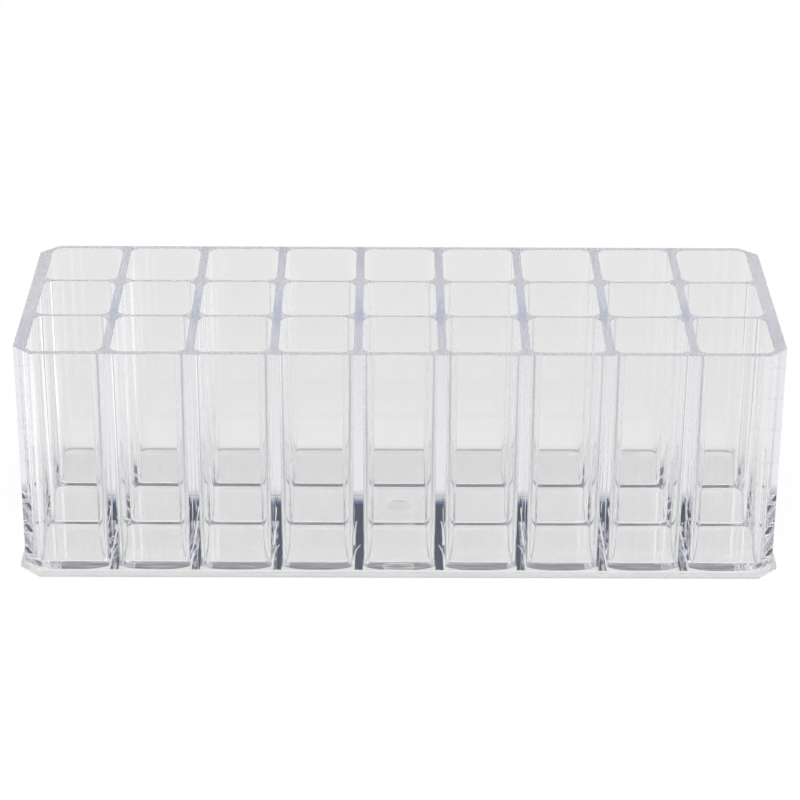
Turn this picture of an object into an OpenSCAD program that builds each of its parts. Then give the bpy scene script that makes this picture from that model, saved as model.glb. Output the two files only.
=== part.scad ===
// Desktop organizer for lipsticks and other slim tubes: a clear moulded block
// of upright cells, bonded onto a slightly larger flat base plate.
// Millimetres. The origin is on the table, under the middle of the base plate.
// X runs along the long side, Y from front to back, and Z up.

/* [Cells] */
// Number of cells side by side, along X
cell_columns = 9; // [2:1:12]
// Number of cells from front to back, along Y
cell_rows = 3; // [1:1:5]
// Clear width of one cell at the rim, along X
cell_w = 22.8; // [16:0.2:32]
// Clear depth of one cell at the rim, along Y
cell_d = 26; // [16:0.2:34]
// Radius of the upright corners inside a cell, at the rim
cell_corner_r = 3.5; // [2.5:0.1:5]
// How much each wall of a cell stands in at the floor, so that the block leaves its mould
cell_taper = 0.35; // [0.1:0.05:0.6]
// Radius where the walls of a cell meet its floor
floor_fillet_r = 0.5; // [0.3:0.1:1.2]

/* [Walls] */
// Wall between two columns of cells
column_wall = 2.6; // [1.6:0.1:5]
// Wall between two rows of cells
row_wall = 1.4; // [1:0.1:4]
// Outer wall at the left and the right end
end_wall = 4; // [2.6:0.1:8]
// Outer wall along the front and the back
front_wall = 2.2; // [1.6:0.1:6]
// Floor under a cell
floor_t = 2.1; // [1:0.1:4]

/* [Block] */
// Height of the block of cells, without the base plate
block_h = 74; // [40:1:120]
// How far each upright outer corner is cut back along both sides
corner_cut = 5.6; // [3:0.1:7]

/* [Base plate] */
// Thickness of the base plate
plate_t = 1.8; // [1.2:0.1:5]
// How far the base plate stands out past the block all round
plate_ledge = 1.4; // [0.6:0.1:5]

/* [Gate mark] */
// Diameter of the round mark that the moulding gate left under the middle cell
gate_d = 10.6; // [4:0.2:14]
// Depth of the gate mark
gate_h = 0.15; // [0.1:0.05:0.5]

/* [Hidden] */

// Overrun of every cut past the face that it opens
cut = 1;
$fn = 64;

column_pitch = cell_w + column_wall;
row_pitch = cell_d + row_wall;
block_w = cell_columns * column_pitch - column_wall + 2 * end_wall;
block_d = cell_rows * row_pitch - row_wall + 2 * front_wall;
plate_w = block_w + 2 * plate_ledge;
plate_d = block_d + 2 * plate_ledge;

block_top_z = plate_t + block_h;
floor_z = plate_t + floor_t;
// Depth of a cell from rim to floor, and of the cut that makes it
cell_h = block_top_z - floor_z;
cell_cut_h = cell_h + cut;

// A parallel step outwards by s lengthens a 45 degree corner cut by this share of s
corner_step_share = 2 - sqrt(2);
plate_cut = corner_cut + plate_ledge * corner_step_share;

// How far the tapered wall has moved out where the cut ends, rounded to whole microns
// so that flat walls and round corners meet on the same numbers
steps_per_mm = 1000;
taper_run = cell_h - floor_fillet_r;
cut_flare = round(steps_per_mm * cell_taper * cut / taper_run) / steps_per_mm;

// Rectangle, centred, with its four corners cut off at 45 degrees
module cut_corner_outline(w, d, c) {
    x = w / 2;
    y = d / 2;
    polygon([
        [x - c, -y], [x, -y + c], [x, y - c], [x - c, y],
        [-x + c, y], [-x, y - c], [-x, -y + c], [-x + c, -y]
    ]);
}

// Upright section through a cell: tapered walls, round where they meet the floor
module cell_section(w) {
    foot = w / 2 - cell_taper;
    flat = foot - floor_fillet_r;
    top = w / 2 + cut_flare;
    polygon([
        [-flat, 0], [flat, 0], [foot, floor_fillet_r],
        [top, cell_cut_h], [-top, cell_cut_h], [-foot, floor_fillet_r]
    ]);
    for (side = [-1, 1])
        translate([side * flat, floor_fillet_r])
            circle(r = floor_fillet_r);
}

// Half of the same section for a round corner, from its own upright axis outwards
module corner_section() {
    foot = cell_corner_r - cell_taper;
    flat = foot - floor_fillet_r;
    polygon([
        [0, 0], [flat, 0], [foot, floor_fillet_r],
        [cell_corner_r + cut_flare, cell_cut_h], [0, cell_cut_h]
    ]);
    translate([flat, floor_fillet_r])
        intersection() {
            circle(r = floor_fillet_r);
            translate([0, -floor_fillet_r])
                square([floor_fillet_r, 2 * floor_fillet_r]);
        }
}

// The space inside one cell, standing on its floor at the origin
module cell_space() {
    inner_w = cell_w - 2 * cell_corner_r;
    inner_d = cell_d - 2 * cell_corner_r;
    // front to back between the round corners
    rotate([90, 0, 90])
        linear_extrude(height = inner_w, center = true)
            cell_section(cell_d);
    // side to side between the round corners
    rotate([90, 0, 0])
        linear_extrude(height = inner_d, center = true)
            cell_section(cell_w);
    // the four round corners
    for (quarter = [0 : 3]) {
        side_x = (quarter == 0 || quarter == 3) ? 1 : -1;
        side_y = (quarter < 2) ? 1 : -1;
        translate([side_x * inner_w / 2, side_y * inner_d / 2, 0])
            rotate([0, 0, 90 * quarter])
                rotate_extrude(angle = 90)
                    corner_section();
    }
}

// The moulded block: outer walls, dividers and cell floors in one piece
module cell_block() {
    color("#dfe4ea")
    difference() {
        translate([0, 0, plate_t])
            linear_extrude(height = block_h)
                cut_corner_outline(block_w, block_d, corner_cut);
        for (i = [0 : cell_columns - 1], j = [0 : cell_rows - 1])
            translate([
                (i - (cell_columns - 1) / 2) * column_pitch,
                (j - (cell_rows - 1) / 2) * row_pitch,
                floor_z
            ])
                cell_space();
        // mark left by the moulding gate
        translate([0, 0, plate_t - cut])
            cylinder(d = gate_d, h = cut + gate_h);
    }
}

// The flat plate under the block, which stands out past it as a low foot
module base_plate() {
    color("#cfd4da")
    linear_extrude(height = plate_t)
        cut_corner_outline(plate_w, plate_d, plate_cut);
}

cell_block();
base_plate();
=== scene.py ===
# %% [markdown]
# # A clear organizer for lipsticks
# The real object is two pieces of clear polystyrene. A deep block of 27 open cells is
# moulded in one shot, and a flat plate a little larger than the block closes its
# underside and makes the foot. Nothing on it moves and nothing on it is coloured, so all
# that the eye gets is what the plastic does to the light. That makes the mesh the most
# important part of the look: flat faces have to be optically flat, every edge needs the
# small radius that a mould gives it, and each piece has to be one closed skin.

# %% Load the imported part
import bpy
import numpy as np
from mathutils import Matrix, Vector
from mathutils.geometry import delaunay_2d_cdt


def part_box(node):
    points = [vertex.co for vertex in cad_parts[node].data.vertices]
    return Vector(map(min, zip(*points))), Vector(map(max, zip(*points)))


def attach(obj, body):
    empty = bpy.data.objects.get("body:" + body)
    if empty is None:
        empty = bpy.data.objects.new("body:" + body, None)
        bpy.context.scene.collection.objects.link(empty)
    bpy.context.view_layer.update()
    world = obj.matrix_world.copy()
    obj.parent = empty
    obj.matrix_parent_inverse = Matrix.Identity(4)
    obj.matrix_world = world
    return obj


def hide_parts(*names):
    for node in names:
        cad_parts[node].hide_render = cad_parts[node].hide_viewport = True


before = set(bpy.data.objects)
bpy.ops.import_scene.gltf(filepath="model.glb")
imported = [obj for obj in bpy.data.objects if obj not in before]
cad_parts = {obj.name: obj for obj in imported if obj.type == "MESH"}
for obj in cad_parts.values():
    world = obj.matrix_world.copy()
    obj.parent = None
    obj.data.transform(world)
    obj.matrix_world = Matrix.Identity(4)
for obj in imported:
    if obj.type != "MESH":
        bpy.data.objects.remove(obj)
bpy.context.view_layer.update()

# %% [markdown]
# ## Sizes
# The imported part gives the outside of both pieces. The sizes of a cell are written here
# once, in millimetres, as a mould maker would list them. A cell is a little narrower at
# its floor than at its rim: without that taper the block would not leave its mould.

# %% Sizes in millimetres
MM = 0.001
block_high = np.array(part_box("cell_block")[1]) / MM
plate_high = np.array(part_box("base_plate")[1]) / MM
half_w, half_d = block_high[0], block_high[1]
plate_half_w, plate_half_d = plate_high[0], plate_high[1]
rim_z, plate_top = block_high[2], plate_high[2]

columns, rows = 9, 3
cell_w, cell_d = 22.8, 26.0
column_wall, row_wall = 2.6, 1.4
cell_corner_r = 3.5
cell_taper = 0.35      # how much each wall of a cell stands in at the floor
floor_fillet = 0.6     # radius where a wall of a cell meets its floor
floor_t = 2.1
corner_cut = 5.6       # how far an outer corner is clipped along both of its sides
plate_ledge = 1.4      # how far the plate stands out past the block
gate_r = 3.7           # radius of the gate mark, at the middle of its soft slope
gate_soft = 1.6        # how far the slope runs in and out from there
gate_h = 0.15          # depth of the gate mark

rim_edge = 0.2         # radius of the inner edge of the rim
outer_edge = 0.2       # radius of the outer edge of the rim
upright_edge = 0.6     # radius of the block's upright outer edges
under_edge = 0.25      # radius round the underside of the block
air_gap = 0.07         # the faces of a bonded joint keep a film of air between them

under_z = plate_top + air_gap
floor_z = plate_top + floor_t
print("block", 2 * half_w, "x", 2 * half_d, "mm, rim at", rim_z, "floor at", floor_z)

# %% [markdown]
# ## Lines that the surfaces are carried along
# Every surface here is a profile carried round an outline. The profile says, for each
# of its points, how far inside the outline it lies, how high, and which way the surface
# faces there. Because the facing is known exactly, it is stored with the mesh, and a
# flat wall next to a rounded edge stays flat to the last ray. A bevel modifier would give
# nearly the same shape, but it would leave the facing to be guessed.

# %% Arcs and outlines
def arc(start, stop, steps):
    """Cosines and sines of steps + 1 equal turns from start to stop, in degrees."""
    turn = np.radians(np.linspace(start, stop, steps + 1))
    return np.cos(turn), np.sin(turn)


def round_outline(half_x, half_y, r, arc_steps, side_steps):
    """A rectangle with round corners, anticlockwise from its +X side.
    A point inset by o is centre + (r - o) * way: centre is the axis of its corner, and
    along a straight side it slides from one corner's axis to the next."""
    axes = np.array([[1, 1], [-1, 1], [-1, -1], [1, -1]]) * [half_x - r, half_y - r]
    share = np.linspace(0, 1, side_steps + 1)[1:-1, None]
    centre, way = [], []
    for k, axis in enumerate(axes):
        turned = np.stack(arc(90 * k, 90 * k + 90, arc_steps), -1)
        centre += [np.tile(axis, (len(turned), 1)),
                   axis * (1 - share) + axes[(k + 1) % 4] * share]
        way += [turned, np.tile(turned[-1], (len(share), 1))]
    return np.concatenate(centre), np.concatenate(way)


def clipped_outline(half_x, half_y, cut, arc_steps, long_steps, short_steps):
    """A rectangle with its corners cut off at 45 degrees, anticlockwise from its +X side.
    Gives three arrays: the sharp corner point, the mitre (how a unit inset moves it) and
    the way out. Points along a side slide between the two corners of that side."""
    sharp = np.array([
        [half_x, half_y - cut], [half_x - cut, half_y],
        [cut - half_x, half_y], [-half_x, half_y - cut],
        [-half_x, cut - half_y], [cut - half_x, -half_y],
        [half_x - cut, -half_y], [half_x, cut - half_y]])
    before = np.stack(arc(0, 315, 7), -1)
    after = np.roll(before, -1, 0)
    mitre = (before + after) / (1 + (before * after).sum(1, keepdims=True))
    point, slide, way = [], [], []
    for k in range(8):
        following = (k + 1) % 8
        turned = np.stack(arc(45 * k, 45 * k + 45, arc_steps), -1)
        steps = long_steps if k % 2 else short_steps
        share = np.linspace(0, 1, steps + 1)[1:-1, None]
        point += [np.tile(sharp[k], (len(turned), 1)),
                  sharp[k] * (1 - share) + sharp[following] * share]
        slide += [np.tile(mitre[k], (len(turned), 1)),
                  mitre[k] * (1 - share) + mitre[following] * share]
        way += [turned, np.tile(after[k], (len(share), 1))]
    return np.concatenate(point), np.concatenate(slide), np.concatenate(way)


print("points round a 10 mm square", len(round_outline(5, 5, 1, 12, 4)[0]))

# %% [markdown]
# ## From grids to one closed skin
# Each surface is a grid of points, one row for each point of its profile. Neighbouring
# surfaces share their border points exactly, so the pieces are laid side by side and the
# doubles are merged by rounding to a ten-thousandth of a millimetre.

# %% Grid faces, merging and making the object
def grid_faces(lines, around, turned=False):
    """Quads between the lines of a grid that is closed round each line, as point numbers.
    They face the left-hand side of a walk along a line when the next line is above."""
    i, j = np.arange(lines - 1)[:, None] * around, np.arange(around)[None, :]
    on = (j + 1) % around
    quads = np.stack([i + j, i + on, i + on + around, i + j + around], -1)
    quads = quads.reshape(-1, 4)
    return quads[:, ::-1] if turned else quads


def with_height(flat, z):
    """Points (..., 2) lifted to height z, which may differ from row to row."""
    z = np.broadcast_to(np.asarray(z, float).reshape(-1, *[1] * (flat.ndim - 1)),
                        flat.shape[:-1] + (1,))
    return np.concatenate([flat, z], -1)


def merge(surfaces, unit=1e-4):
    """Lays surfaces (points, facings, faces) side by side and merges equal points."""
    points = np.concatenate([s[0].reshape(-1, 3) for s in surfaces])
    facing = np.concatenate([np.reshape(s[1], (-1, 3)) for s in surfaces])
    start = np.cumsum([0] + [s[0].size // 3 for s in surfaces])
    _, first, new = np.unique(np.round(points / unit).astype(np.int64), axis=0,
                              return_index=True, return_inverse=True)
    new = new.reshape(-1)
    faces = []
    for s, shift in zip(surfaces, start):
        for group in s[2]:
            faces += new[np.asarray(group) + shift].tolist()
    return points[first], facing[first], faces


def make_piece(name, skin):
    """Turns a merged skin in millimetres into an object in metres, facings kept."""
    points, facing, faces = skin
    mesh = bpy.data.meshes.new(name)
    mesh.from_pydata((points * MM).tolist(), [], faces)
    mesh.polygons.foreach_set("use_smooth", np.ones(len(faces), bool))
    mesh.update()
    mesh.normals_split_custom_set_from_vertices(facing.tolist())
    piece = bpy.data.objects.new(name, mesh)
    bpy.context.scene.collection.objects.link(piece)
    print(name, len(points), "points", len(faces), "faces")
    return piece


# %% [markdown]
# ## The 27 cells
# A cell is one surface: over the rounded edge of the rim, down the slightly leaning wall,
# through the small fillet and across the floor. One grid is worked out for a cell at the
# origin, and all 27 are the same grid moved by whole arrays.

# %% The cells
def cell_profile():
    """Rows of (inset, height, how much it faces the wall, how much it faces up)."""
    c, s = arc(0, 90, 4)
    lip = np.stack([rim_edge * (s - 1), rim_z - rim_edge * (1 - c), s, c], -1)
    top, foot = rim_z - rim_edge, floor_z + floor_fillet
    share = np.linspace(0, 1, 5)[1:]
    wall = np.stack([cell_taper * share, top + (foot - top) * share,
                     share * 0 + 1, share * 0], -1)
    c, s = arc(0, 90, 6)
    fillet = np.stack([cell_taper + floor_fillet * (1 - c),
                       foot - floor_fillet * s, c, s], -1)[1:]
    return np.concatenate([lip, wall, fillet])


def cell_surfaces():
    """All cells as one surface, and the outline that each makes in the rim."""
    inset, z, aside, up = cell_profile().T
    centre, way = round_outline(cell_w / 2, cell_d / 2, cell_corner_r,
                                arc_steps=12, side_steps=4)
    n = len(way)
    flat = centre + (cell_corner_r - inset)[:, None, None] * way
    one = with_height(flat, z)
    facing = np.concatenate([-way * aside[:, None, None],
                             np.broadcast_to(up[:, None, None], (len(up), n, 1))], -1)
    x = (np.arange(columns) - (columns - 1) / 2) * (cell_w + column_wall)
    y = (np.arange(rows) - (rows - 1) / 2) * (cell_d + row_wall)
    place = np.stack(np.meshgrid(x, y, [0.0], indexing="ij"), -1).reshape(-1, 1, 1, 3)
    points = one + place
    per_cell = one.size // 3
    shift = np.arange(len(place))[:, None, None] * per_cell
    walls = (grid_faces(len(one), n) + shift).reshape(-1, 4)
    floors = np.arange(per_cell - n, per_cell) + shift[:, 0]
    facings = np.broadcast_to(facing, points.shape)
    return (points, facings, [walls, floors]), points[:, 0, :, :2]


cells, cell_rims = cell_surfaces()
print("cells", cells[0].shape)

# %% [markdown]
# ## The outside of the block
# The outside is the same idea round the clipped outline: from the rim over a rounded edge,
# down the wall and round the bottom edge onto the underside. The upright edges at the
# clipped corners have a radius too, which shrinks as the profile steps inwards.

# %% The outer wall, the rim and the underside
def carry(outline, r, profile, least_r=0.2):
    """Carries a profile round a clipped outline. A row inset by o has corners of radius
    r - o, so its points are sharp - (o + radius) * mitre + radius * way out."""
    sharp, mitre, way = outline
    inset, z, out, up = np.array(profile).T
    radius = np.maximum(r - inset, least_r)[:, None, None]
    flat = sharp - (inset[:, None, None] + radius) * mitre + radius * way
    facing = np.concatenate([way * out[:, None, None], np.broadcast_to(
        up[:, None, None], flat.shape[:2] + (1,))], -1)
    return with_height(flat, z), facing


def outer_profile():
    """Rows of (inset, height, how much it faces out, how much it faces up)."""
    c, s = arc(0, 90, 4)
    lip = np.stack([outer_edge * (1 - s), rim_z - outer_edge * (1 - c), s, c], -1)
    top, foot = rim_z - outer_edge, under_z + under_edge
    share = np.linspace(0, 1, 5)[1:]
    wall = np.stack([share * 0, top + (foot - top) * share, share * 0 + 1, share * 0], -1)
    c, s = arc(0, 90, 4)
    heel = np.stack([under_edge * (1 - c), foot - under_edge * s, c, -s], -1)[1:]
    return np.concatenate([lip, wall, heel])


block_outline = clipped_outline(half_w, half_d, corner_cut, arc_steps=4,
                                long_steps=columns * 2, short_steps=2)
outer, outer_facing = carry(block_outline, upright_edge, outer_profile())
around = outer.shape[1]
outer_surface = (outer, outer_facing, [grid_faces(len(outer), around, turned=True)])


def rim_surface():
    """The flat rim: everything between the outer edge and the 27 openings, in triangles.
    A constrained Delaunay triangulation keeps all the given edges; a triangle with its
    three corners on one opening lies inside that opening and goes."""
    loops = [outer[0, :, :2]] + list(cell_rims)
    flat = np.concatenate(loops)
    owner = np.repeat(np.arange(len(loops)), [len(loop) for loop in loops])
    following = np.concatenate([np.roll(np.flatnonzero(owner == k), -1)
                                for k in range(len(loops))])
    edges = np.stack([np.arange(len(flat)), following], -1).tolist()
    only_inside, same_point = 1, 1e-7
    _, _, found, origin, _, _ = delaunay_2d_cdt(
        [Vector(p) for p in flat.tolist()], edges, [], only_inside, same_point)
    corners = np.array([o[0] for o in origin])[np.array(found)]
    of = owner[corners]
    hole = (of[:, 0] == of[:, 1]) & (of[:, 1] == of[:, 2]) & (of[:, 0] > 0)
    corners = corners[~hole]
    a, b, c = (flat[corners[:, k]] for k in range(3))
    turn = np.cross(b - a, c - a)
    corners[turn < 0] = corners[turn < 0][:, ::-1]
    points = with_height(flat, np.full(len(flat), rim_z))
    return points, np.tile([0.0, 0.0, 1.0], (len(flat), 1)), [corners]


def underside_surface():
    """The flat underside with the gate mark in its middle. Rows go from the outer ring
    in to a circle, then up the shallow dome of the mark: height * (3 t^2 - 2 t^3)."""
    ring = outer[-1, :, :2]
    way = ring / np.linalg.norm(ring, axis=1, keepdims=True)
    share = np.array([0.0, 0.4, 0.75])[:, None, None]
    plain = ring * (1 - share) + way * (gate_r + gate_soft) * share
    t = np.linspace(0, 1, 9)[:, None, None]
    step = way * (gate_r + gate_soft * (1 - 2 * t))
    flat = np.concatenate([plain, step])
    t = np.concatenate([share * 0, t])[:, 0, 0]
    z = under_z + gate_h * t * t * (3 - 2 * t)
    slope = 6 * t * (1 - t) * gate_h / (2 * gate_soft)
    length = np.hypot(slope, 1)[:, None, None]
    facing = np.concatenate([-way * slope[:, None, None],
                             -np.ones(flat.shape[:2] + (1,))], -1) / length
    n = flat.shape[1]
    cap = np.arange(len(flat) * n - n, len(flat) * n)[::-1][None]
    return with_height(flat, z), facing, [grid_faces(len(flat), n, turned=True), cap]


cell_block = make_piece("organizer_block", merge(
    [cells, outer_surface, rim_surface(), underside_surface()]))

# %% [markdown]
# ## The base plate
# A flat moulding with a small radius on every edge. It stands out 1.4 mm past the block
# all round, and that ledge is what shows as a pale foot under the cells.

# %% The base plate
def plate_surface(low_edge=0.2, top_edge=0.45, corner_edge=0.8):
    """Carries the rounded edge of the plate round its outline; both faces are flat. A
    parallel step outwards lengthens a 45 degree clip by 2 - sqrt(2) of the step."""
    c, s = arc(-90, 0, 4)
    low = np.stack([low_edge * (1 - c), low_edge * (1 + s), c, s], -1)
    c, s = arc(0, 90, 6)
    top = np.stack([top_edge * (1 - c), plate_top - top_edge * (1 - s), c, s], -1)
    cut = corner_cut + plate_ledge * (2 - 2 ** 0.5)
    outline = clipped_outline(plate_half_w, plate_half_d, cut, arc_steps=4,
                              long_steps=8, short_steps=2)
    points, facing = carry(outline, corner_edge, np.concatenate([low, top]))
    n, last = points.shape[1], points.size // 3
    underneath, over = np.arange(n)[::-1][None], np.arange(last - n, last)[None]
    return points, facing, [grid_faces(len(points), n), underneath, over]


base_plate = make_piece("organizer_base", merge([plate_surface()]))

# %% [markdown]
# ## Colours and nodes
# A colour is written as the sRGB hex value that a paint program shows, and turned to the
# linear value that a node holds in one place. One small helper adds a node and gives back
# the socket that its result comes out of, so a formula reads from the inside out.

# %% Colour and node helpers
def linear(hex_colour):
    """sRGB to linear: v / 12.92 up to 0.04045, above it ((v + 0.055) / 1.055) ** 2.4."""
    v = np.array([int(hex_colour[i:i + 2], 16) for i in (1, 3, 5)]) / 255
    v = np.where(v <= 0.04045, v / 12.92, ((v + 0.055) / 1.055) ** 2.4)
    return (*v.tolist(), 1.0)


def add(tree, kind, *values, named=None, **settings):
    """Adds one node and gives its first output that is in use. Numbers and sockets are
    laid on its inputs in order, or by name. Settings are the node's own options."""
    made = tree.nodes.new("ShaderNode" + kind)
    for option, choice in settings.items():
        setattr(made, option, choice)
    for key, value in [*enumerate(values), *(named or {}).items()]:
        if isinstance(value, bpy.types.NodeSocket):
            tree.links.new(value, made.inputs[key])
        else:
            made.inputs[key].default_value = value
    return next((socket for socket in made.outputs if socket.enabled), made)


def empty_tree(owner):
    """The cleared node tree of a new material or world."""
    owner.use_nodes = True
    owner.node_tree.nodes.clear()
    return owner.node_tree


print("#808080 is", round(linear("#808080")[0], 4), "linear")

# %% [markdown]
# ## The bonded joint
# The block is stuck to its plate with a solvent, which makes the two faces one piece of
# plastic wherever it gets to. Elsewhere a film of air stays between them. From above the
# film can't be seen, but to a ray that comes in low through the front it is a perfect
# mirror, and what it shows is the dark side of the room. That makes the dark core under
# each divider and the dark crescent under each front floor. Where the solvent took, the ray
# runs on into the plate and meets white paper instead. Plastic bends blue light more than
# red, so where the mirror starts at the back there is a blue fringe; that fringe is
# painted, as a blue tint on the rays that pass the joint there.
#
# So a map of where the solvent went is most of the look of the lower edge. It could be cut
# into the mesh, but a wetted patch has no thickness and its edge wanders, so the map is
# worked out in the material from the place on the joint. There the two faces simply let
# every ray through unbent. The hollow of the gate mark, in the middle of the block, holds
# a pool of solvent, and that is why a faint ring shows through the floor above it.

# %% Where the solvent went
pitch = (cell_w + column_wall) * MM
row_pitch = (cell_d + row_wall) * MM
half_cell = cell_w / 2 * MM
flank = half_cell + column_wall * MM    # the outer flank of a divider, from a cell's middle
print("pitch", round(pitch / MM, 2), "x", round(row_pitch / MM, 2), "mm")


def blotches(tree, where, size_mm, low, high, least, most):
    """Noise with blotches of a given width and depth. Its values from low to high are
    spread over least to most."""
    scale = [1 / (size * MM) for size in size_mm] + [0.0]
    noise = add(tree, "TexNoise", named={
        "Vector": add(tree, "Mapping", where, named={"Scale": scale}),
        "Scale": 1.0, "Detail": 2.0})
    return add(tree, "MapRange", noise, low, high, least, most)


def scallops(tree, aside, inwards, least=0.8, more=4.4, power=3.5):
    """Wet up to least + more * (aside / half a cell)^power mm in from the front edge."""
    reach = add(tree, "Math", aside, half_cell, operation="DIVIDE")
    reach = add(tree, "Math", reach, power, operation="POWER")
    reach = add(tree, "Math", reach, more * MM, least * MM, operation="MULTIPLY_ADD")
    return add(tree, "Math", inwards, reach, operation="LESS_THAN")


def thread(tree, where, outward, y, drawn_in=2.4, power=4.0, calm=0.3, beside=0.1,
           half_thick=0.25):
    """A thread of solvent, 2 * half_thick mm wide, beside mm outside of the flank. It
    bulges in under the divider in front of each row wall, by drawn_in * noise * (share of
    the row)^power mm, and only calm times as much in the middle row."""
    row = add(tree, "Math", y, rows / 2 * row_pitch, operation="ADD")
    row = add(tree, "Math", row, row_pitch, operation="FLOORED_MODULO")
    row = add(tree, "Math", row, row_pitch, operation="DIVIDE")
    bulge = add(tree, "Math", row, power, operation="POWER")
    front_row = add(tree, "MapRange", y, -row_pitch / 2, -row_pitch / 4, 1.0, calm)
    noise = blotches(tree, where, (20, 17), low=0.3, high=0.7, least=0.3, most=1.0)
    for share in (noise, front_row, drawn_in * MM):
        bulge = add(tree, "Math", bulge, share, operation="MULTIPLY")
    place = add(tree, "Math", outward, bulge, operation="ADD")
    return add(tree, "Math", place, flank + beside * MM, half_thick * MM,
               operation="COMPARE")


def spilled(tree, where, outward, far_x, widens=0.024):
    """Blots under the outer side of each divider, in a band that widens towards the ends
    of the block: 0 < flank - outward < widens * far_x."""
    half_band = add(tree, "Math", far_x, widens / 2, operation="MULTIPLY")
    depth = add(tree, "Math", flank, outward, operation="SUBTRACT")
    band = add(tree, "Math", depth, half_band, half_band, operation="COMPARE")
    blots = blotches(tree, where, (1.5, 7), low=0.4, high=0.6, least=0.0, most=0.75)
    return add(tree, "Math", blots, band, operation="MULTIPLY")


def crept(tree, aside, y, inwards, wet_mm=2.0, dry_mm=10.5, past_mm=0.3):
    """Under a divider at the back: 1 up to wet_mm in from the edge, 0 from dry_mm on. It
    runs past_mm out past both flanks of the divider."""
    share = add(tree, "MapRange", inwards, wet_mm * MM, dry_mm * MM, 1.0, 0.0,
                interpolation_type="SMOOTHSTEP")
    behind = add(tree, "Math", y, 0.0, operation="GREATER_THAN")
    by_divider = add(tree, "Math", aside, half_cell - past_mm * MM,
                     operation="GREATER_THAN")
    for mask in (behind, by_divider):
        share = add(tree, "Math", share, mask, operation="MULTIPLY")
    return share


def pooled(tree, x, y, share=0.7, soft_mm=0.4):
    """A pool in the hollow of the gate mark: share where sqrt(x^2 + y^2) is under the
    outer radius of the mark, with an edge soft_mm wide. It wets the plate; the roof of
    the hollow is too high above the joint for it."""
    edge = (gate_r + gate_soft) * MM
    away = add(tree, "Math", x, x, operation="MULTIPLY")
    away = add(tree, "Math", y, y, away, operation="MULTIPLY_ADD")
    away = add(tree, "Math", away, operation="SQRT")
    return add(tree, "MapRange", away, edge - soft_mm * MM, edge, share, 0.0)


def wetted(tree, where, front_mm=12, end_mm=4.5, end_soft=0.1, end_share=0.5, heel=0.4):
    """How far block and plate have become one, from 0 to 1: the greatest of scallops and
    thin streaks in the front_mm at the front of each front cell, threads and blots in the
    two front rows, the pool in the gate mark, what crept in at the back, and end_share
    within end_mm of both ends. The rounded heel of the block, heel mm wide, stays dry.
    The second result is the share of painted blue fringe where it crept in: 1 - crept, as
    far as it is wet at all."""
    x, y, z = add(tree, "SeparateXYZ", where).node.outputs
    far_x = add(tree, "Math", x, operation="ABSOLUTE")
    far_y = add(tree, "Math", y, operation="ABSOLUTE")
    aside = add(tree, "Math", x, pitch / 2, operation="PINGPONG")
    outward = add(tree, "Math", far_x, pitch, operation="MODULO")
    inwards = add(tree, "Math", half_d * MM, far_y, operation="SUBTRACT")

    in_cell = add(tree, "Math", aside, half_cell, operation="LESS_THAN")
    in_front = add(tree, "Math", y, (front_mm - half_d) * MM, operation="LESS_THAN")
    front_floor = add(tree, "Math", in_cell, in_front, operation="MULTIPLY")
    front_rows = add(tree, "Math", y, row_pitch / 2, operation="LESS_THAN")

    back = crept(tree, aside, y, inwards)
    end = half_w - end_mm
    ends = add(tree, "MapRange", far_x, (end - end_soft) * MM, (end + end_soft) * MM,
               0.0, end_share)
    wet = add(tree, "Math", back, ends, operation="MAXIMUM")
    wet = add(tree, "Math", wet, pooled(tree, x, y), operation="MAXIMUM")
    streaks = blotches(tree, where, (14, 1.2), low=0.35, high=0.65, least=0.15, most=0.5)
    for region, parts in (
            (front_floor, (scallops(tree, aside, inwards), streaks)),
            (front_rows, (thread(tree, where, outward, y),
                          spilled(tree, where, outward, far_x)))):
        either = add(tree, "Math", *parts, operation="MAXIMUM")
        part = add(tree, "Math", region, either, operation="MULTIPLY")
        wet = add(tree, "Math", wet, part, operation="MAXIMUM")

    both_faces = (air_gap + 0.03) * MM
    at_joint = add(tree, "Math", z, plate_top * MM, both_faces, operation="COMPARE")
    wet = add(tree, "Math", wet, at_joint, operation="MULTIPLY")
    for limit, half in ((far_x, half_w), (far_y, half_d)):
        on_block = add(tree, "Math", limit, (half - heel) * MM, operation="LESS_THAN")
        wet = add(tree, "Math", wet, on_block, operation="MULTIPLY")

    fringe = add(tree, "Math", back, 0.0, operation="GREATER_THAN")
    fringe = add(tree, "Math", fringe, back, operation="SUBTRACT")
    clear_of_ends = end - 5 * end_soft
    between_ends = add(tree, "Math", far_x, clear_of_ends * MM, operation="LESS_THAN")
    for mask in (at_joint, between_ends):
        fringe = add(tree, "Math", fringe, mask, operation="MULTIPLY")
    return wet, fringe


# %% [markdown]
# ## Clear polystyrene
# General purpose polystyrene is the usual plastic for a box as clear as glass. Its IOR is
# 1.59, higher than acrylic, and that is why its edges sparkle and its floors turn into
# mirrors so easily. Five things make it more than plain glass.
# * The pellets are tinted a little violet, so that the plastic doesn't look yellow. A wall
#   looks colourless, but light that runs 74 mm along inside it comes out lavender at the
#   rim. That is a volume absorption, not a surface colour.
# * The mould is polished by hand, which leaves long waves, about 25 mm from crest to crest
#   and under a ten-thousandth of a millimetre high. Higher ones would bend the straight
#   lines of the dividers.
# * Tubes that are dropped in rub the cells. The rubs are fine upright streaks, 14 mm long,
#   with a little roughness. The rim is rubbed all over and is a little dull.
# * The plate slides about on tables, so its underside is matt.
# * Paper that touches that matt face takes part of the light straight over, as a wet
#   patch does.
# Light that reaches the table goes through the plastic without being bent, because bent
# light on a table needs far more samples than a soft studio light is worth.

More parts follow.
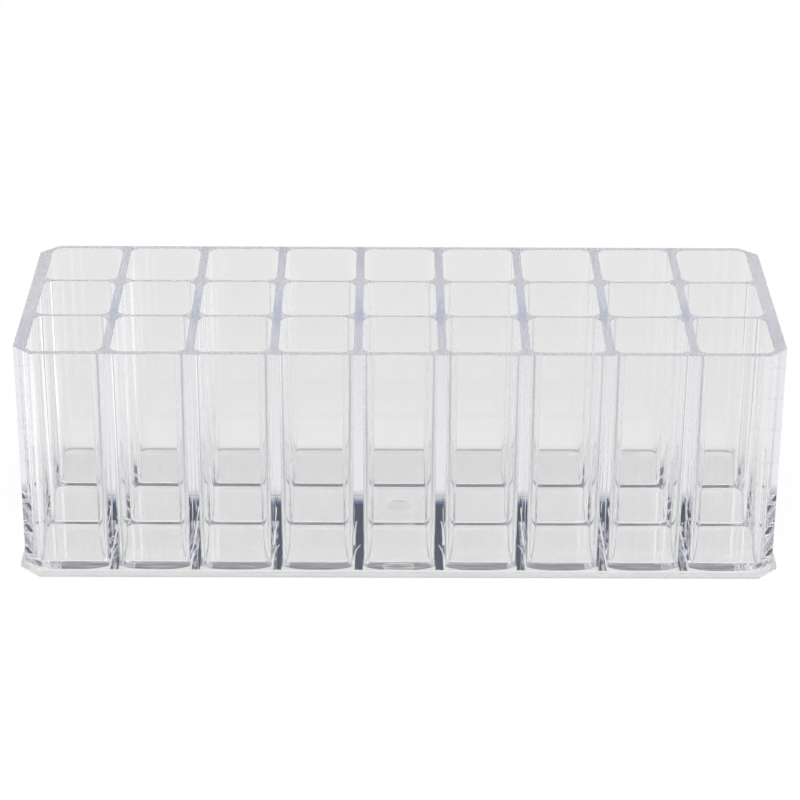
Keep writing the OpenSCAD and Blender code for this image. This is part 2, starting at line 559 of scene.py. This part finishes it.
# %% The plastic
def clear_polystyrene(name, wave_mm, wave_height_mm=0.00005, rub=0.03, rim=0.22,
                      slid=0.75, touch=0.6, streak_mm=(0.8, 0.8, 14.0), few=(0.62, 0.8)):
    """Clear plastic with mould waves of a given length and height. Its roughness is the
    sum of rub in the streaks, rim on the rim and slid on the underside, and the share
    touch of the underside lets a ray through unbent. The streaks are where noise with
    features of streak_mm rises through few, so that only the highest of it shows."""
    material = bpy.data.materials.new(name)
    tree = empty_tree(material)
    where = add(tree, "TexCoord").node.outputs["Object"]
    z = add(tree, "SeparateXYZ", where).node.outputs[2]
    waves = add(tree, "TexNoise", named={
        "Vector": where, "Scale": 1 / (wave_mm * MM), "Detail": 1.0, "Roughness": 0.4})
    polish = add(tree, "Bump", named={
        "Strength": 1.0, "Distance": wave_height_mm * MM, "Height": waves})
    along = add(tree, "Mapping", where, named={
        "Scale": [1 / (size * MM) for size in streak_mm]})
    streaks = add(tree, "TexNoise", named={
        "Vector": along, "Scale": 1.0, "Detail": 3.0, "Roughness": 0.6})
    rough = add(tree, "MapRange", streaks, *few, 0.0, rub)
    rim_foot = rim_z - 1.5 * rim_edge
    on_rim = add(tree, "Math", z, rim_foot * MM, operation="GREATER_THAN")
    rough = add(tree, "Math", on_rim, rim, rough, operation="MULTIPLY_ADD")
    underneath = add(tree, "Math", z, 0.01 * MM, operation="LESS_THAN")
    rough = add(tree, "Math", underneath, slid, rough, operation="MULTIPLY_ADD")
    plastic = add(tree, "BsdfPrincipled", named={
        "Base Color": linear("#ffffff"), "Roughness": rough, "IOR": 1.59,
        "Transmission Weight": 1.0, "Normal": polish})
    unbent = add(tree, "BsdfTransparent", linear("#f3f3f3"))
    to_lamp = add(tree, "LightPath").node.outputs["Is Shadow Ray"]
    surface = add(tree, "MixShader", to_lamp, plastic, unbent)
    touching = add(tree, "Math", underneath, touch, operation="MULTIPLY")
    fused, fringe = wetted(tree, where)
    no_face = add(tree, "Math", fused, touching, operation="MAXIMUM")
    # Painted blue fringe: where the solvent crept in, rays that pass the joint are tinted
    # blue, standing in for the blue light that the plastic bends more.
    through = add(tree, "Mix", named={
        0: fringe, 6: linear("#ffffff"), 7: linear("#90c4ff")}, data_type="RGBA")
    surface = add(tree, "MixShader", no_face, surface,
                  add(tree, "BsdfTransparent", through))
    tint = add(tree, "VolumeAbsorption", linear("#7676bc"), 1.0)
    add(tree, "OutputMaterial", surface, tint)
    print(name, len(tree.nodes), "nodes")
    return material


cell_block.data.materials.append(
    clear_polystyrene("clear polystyrene, polished mould", wave_mm=25))
base_plate.data.materials.append(
    clear_polystyrene("clear polystyrene, flat moulding", wave_mm=30))

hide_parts("cell_block")
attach(cell_block, "root")
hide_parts("base_plate")
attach(base_plate, "root")

# %% [markdown]
# ## The table
# The object stands on white paper. The camera sees the paper nearly white, with only the
# soft shadow of the object on it. What the plastic shows of the paper is a glow with light
# and shade painted into it: a painted pool of light under the plate, standing in for the
# light that the lit plastic sheds there, painted shade along the plate's edge, a painted
# contact shadow next to it, and painted differences from side to side. It is painted darker
# in front, where the camera stood, and that draws the thin dark lines along the dividers,
# which look back towards the front.

# %% The table
def paper_with_painted_light(shade_mm=8.0, under=1.02, lean=0.04, contact=0.42, behind=(0.87, 0.82),
                beside=(1.25, 0.95), front=0.5, edge_mm=3.2, edge=0.7, violet_mm=5.5,
                back_mm=(120, 200), side_mm=(130, 180), level_mm=(70, 130), fore_mm=20):
    """Paper whose glow, as the plastic shows it, has light and shade painted into it, at
    these shares of white. The painted contact shadow opens over shade_mm, by the distance
    sqrt(dx^2 + dy^2) outside the plate. behind is near and far, over back_mm. beside is
    left and right: it takes over from behind across side_mm, but only as far back as the
    object, fading over level_mm. It falls to front over the fore_mm before the plate. Under
    the plate a painted pool of light has the share under + lean at the back and under -
    lean in front, and painted shade lowers it by the factor edge over the last edge_mm.
    Painted violet light falls under the dividers, from violet_mm behind the front of the
    block."""
    material = bpy.data.materials.new("white paper")
    tree = empty_tree(material)
    where = add(tree, "TexCoord").node.outputs["Object"]
    x, y, _ = add(tree, "SeparateXYZ", where).node.outputs
    far_x = add(tree, "Math", x, operation="ABSOLUTE")
    far_y = add(tree, "Math", y, operation="ABSOLUTE")
    past = [add(tree, "MapRange", far, half * MM, half * MM + 1.0, 0.0, 1.0)
            for far, half in ((far_x, plate_half_w), (far_y, plate_half_d))]
    squares = [add(tree, "Math", gap, 2.0, operation="POWER") for gap in past]
    distance = add(tree, "Math", add(tree, "Math", *squares, operation="ADD"),
                   operation="SQRT")
    back, side, level_with = (np.multiply(range_mm, MM).tolist()
                              for range_mm in (back_mm, side_mm, level_mm))
    # Painted light and shade round the plate: a little below white behind, brighter to the
    # left than to the right at the ends, and darker in front.
    to_back = add(tree, "MapRange", y, *back, *behind)
    to_side = add(tree, "MapRange", x, -side[0], side[0], *beside)
    past_end = add(tree, "MapRange", far_x, *side, 0.0, 1.0)
    not_behind = add(tree, "MapRange", y, *level_with, 1.0, 0.0)
    to_end = add(tree, "Math", past_end, not_behind, operation="MULTIPLY")
    around = add(tree, "MapRange", to_end, 0.0, 1.0, to_back, to_side)
    around = add(tree, "MapRange", y, -plate_half_d * MM, -(plate_half_d + fore_mm) * MM,
                 around, front)
    # A painted contact shadow, from contact beside the plate up to the painted levels
    # around it.
    outside = add(tree, "MapRange", distance, 0.0, shade_mm * MM, contact, around)
    # A painted pool of light under the plate, a little brighter at the back than in front.
    inside = add(tree, "Math", y, lean / (half_d * MM), under, operation="MULTIPLY_ADD")
    from_edge = add(tree, "Math", *[
        add(tree, "Math", half * MM, far, operation="SUBTRACT")
        for far, half in ((far_x, plate_half_w), (far_y, plate_half_d))],
        operation="MINIMUM")
    # Painted shade along the plate's edge.
    painted_edge_shade = add(tree, "MapRange", from_edge, 0.0, edge_mm * MM, edge, 1.0)
    inside = add(tree, "Math", inside, painted_edge_shade, operation="MULTIPLY")
    covered = add(tree, "Math", distance, 0.01 * MM, operation="LESS_THAN")
    not_ledge = add(tree, "Math", y, half_d * MM, operation="LESS_THAN")
    covered = add(tree, "Math", covered, not_ledge, operation="MULTIPLY")
    painted_level = add(tree, "MapRange", covered, 0.0, 1.0, outside, inside)

    # Painted violet light: the paper under the dividers is tinted lavender, standing in for
    # light that comes through the tinted plastic.
    aside = add(tree, "Math", x, pitch / 2, operation="PINGPONG")
    under_divider = add(tree, "Math", aside, half_cell, operation="GREATER_THAN")
    middle, reach = violet_mm / 2 * MM, (half_d - violet_mm / 2) * MM
    under_block = add(tree, "Math", y, middle, reach, operation="COMPARE")
    lavender = add(tree, "Math", under_divider, under_block, operation="MULTIPLY")
    paper = add(tree, "Mix", named={
        0: lavender, 6: linear("#ffffff"), 7: linear("#dedeea")}, data_type="RGBA")

    # Only glossy and transmission rays, which come through the plastic, see this painted
    # glow; the camera sees nearly plain white with the real lit shadow.
    path = add(tree, "LightPath").node.outputs
    through = add(tree, "Math", path["Is Glossy Ray"], path["Is Transmission Ray"],
                  operation="ADD", use_clamp=True)
    seen = add(tree, "MixShader", through, add(tree, "BsdfDiffuse", linear("#fafafa")),
               add(tree, "Emission", paper, painted_level))
    mostly = add(tree, "Math", path["Is Camera Ray"], 0.9, operation="MULTIPLY")
    shown = add(tree, "MixShader", mostly, seen,
                add(tree, "Emission", linear("#ffffff"), 1.0))
    add(tree, "OutputMaterial", shown)
    return material


half_table, table_z = 6.0, -0.1 * MM    # in metres; it lies a hair under the plate
table_mesh = bpy.data.meshes.new("table_top")
corners = np.array([[-1, -1], [1, -1], [1, 1], [-1, 1]]) * half_table
table_mesh.from_pydata(with_height(corners, np.full(4, table_z)).tolist(), [],
                       [(0, 1, 2, 3)])
table_mesh.materials.append(paper_with_painted_light())
table_top = bpy.data.objects.new("table_top", table_mesh)
bpy.context.scene.collection.objects.link(table_top)
print("table", 2 * half_table, "m wide")

# %% [markdown]
# ## The room
# A clear object shows the room more than itself. The room is white, with a dark side
# behind the object that starts a little above the table. Walls that stand upright bend a
# ray sideways but leave its slope alone, so through them the camera still looks down at
# white paper. A flat floor turns the slope over and looks up at the dark side instead.
# The two lamps are soft boxes. They light the paper, and the plastic doesn't show them,
# because the real ones are far out of the way of every ray that it bends.

# %% The room
def room(dark="#3c4454", rises=(0.2, 0.36), narrows=(0.25, 0.5)):
    """White, going to a dark side between two slopes and back between two directions.
    A slope is the sine of the height above the table; a direction is the turn away from
    straight behind the object, as a share of half a turn."""
    world = bpy.data.worlds.new("room")
    tree = empty_tree(world)
    toward = add(tree, "TexCoord")
    x, y, z = add(tree, "SeparateXYZ", toward).node.outputs
    turn = add(tree, "Math", x, y, operation="ARCTAN2")
    turn = add(tree, "Math", turn, operation="ABSOLUTE")
    turn = add(tree, "Math", turn, float(np.pi), operation="DIVIDE")
    high = add(tree, "MapRange", z, *rises, 0.0, 1.0, interpolation_type="SMOOTHSTEP")
    facing_it = add(tree, "MapRange", turn, *narrows, 1.0, 0.0,
                    interpolation_type="SMOOTHSTEP")
    dark_share = add(tree, "Math", high, facing_it, operation="MULTIPLY")
    colour = add(tree, "Mix", named={
        0: dark_share, 6: linear("#ffffff"), 7: linear(dark)}, data_type="RGBA")
    add(tree, "OutputWorld", add(tree, "Background", colour, 1.0))
    return world


bpy.context.scene.world = room()


def soft_box(name, place, size, watts, aim=(0.0, 0.0, 0.04)):
    """A rectangular lamp at a place in metres, turned to face a point."""
    lamp = bpy.data.lights.new(name, "AREA")
    lamp.shape, lamp.energy = "RECTANGLE", watts
    lamp.size, lamp.size_y = size
    holder = bpy.data.objects.new(name, lamp)
    holder.location = place
    toward = Vector(aim) - Vector(place)
    holder.rotation_euler = toward.to_track_quat("-Z", "Y").to_euler()
    holder.visible_glossy = holder.visible_transmission = False
    bpy.context.scene.collection.objects.link(holder)


soft_box("soft box", (-0.5, -0.9, 1.4), (1.2, 0.8), 18)
soft_box("fill light", (0.9, -0.6, 1.0), (0.8, 0.8), 8)
print("lamps", [lamp.name for lamp in bpy.data.lights])

# %% [markdown]
# ## The camera
# The view was worked out from straight lines of the photo: how far the camera looks down,
# how far away it is and how long its lens is. Its distance is measured to the middle of
# the rim. Turn and roll are under half a degree.

# %% The camera
focal_px, image_px = 2754.0, 800
looks_down, turned_by, rolled_by = np.radians([25.53, -0.312, 0.326])
distance_mm, aside_mm, lowered_mm = 865.0, -0.21, -31.88


def camera_axes():
    """Rows are the camera's right, down and forward: the turn about the upright, then
    the look down, then the roll in the picture, as one product of three rotations."""
    ct, st = np.cos(turned_by), np.sin(turned_by)
    cd, sd = np.cos(looks_down), np.sin(looks_down)
    cr, sr = np.cos(rolled_by), np.sin(rolled_by)
    turn = np.array([[ct, st, 0], [-st, ct, 0], [0, 0, 1]])
    look = np.array([[1, 0, 0], [0, -sd, -cd], [0, cd, -sd]])
    roll = np.array([[cr, -sr, 0], [sr, cr, 0], [0, 0, 1]])
    return roll @ look @ turn, roll


axes, roll = camera_axes()
camera_mm = np.array([0, 0, rim_z]) - axes.T @ (roll @ [aside_mm, lowered_mm, distance_mm])
lens = bpy.data.cameras.new("camera")
lens.sensor_width, lens.sensor_fit = 36.0, "HORIZONTAL"
lens.lens = focal_px / image_px * lens.sensor_width
lens.clip_start, lens.clip_end = 0.01, 20.0
camera = bpy.data.objects.new("camera", lens)
bpy.context.scene.collection.objects.link(camera)
bpy.context.scene.camera = camera
turn_to = Matrix(np.array([axes[0], -axes[1], -axes[2]]).T.tolist()).to_4x4()
camera.matrix_world = Matrix.Translation(Vector((camera_mm * MM).tolist())) @ turn_to
print("camera at, mm", camera_mm.round(1), "lens, mm", round(lens.lens, 1))

# %% [markdown]
# ## Bounces
# A ray may cross forty faces on its way through three rows of cells. With Blender's usual
# twelve bounces those rays would end black.

# %% Bounces and colour
scene = bpy.context.scene
scene.view_settings.view_transform = "Standard"
scene.cycles.max_bounces = 48
scene.cycles.transmission_bounces = 48
scene.cycles.glossy_bounces = 48
scene.cycles.diffuse_bounces = 4
scene.cycles.transparent_max_bounces = 64
scene.cycles.caustics_refractive = False
scene.cycles.caustics_reflective = False
print("bounces", scene.cycles.max_bounces)
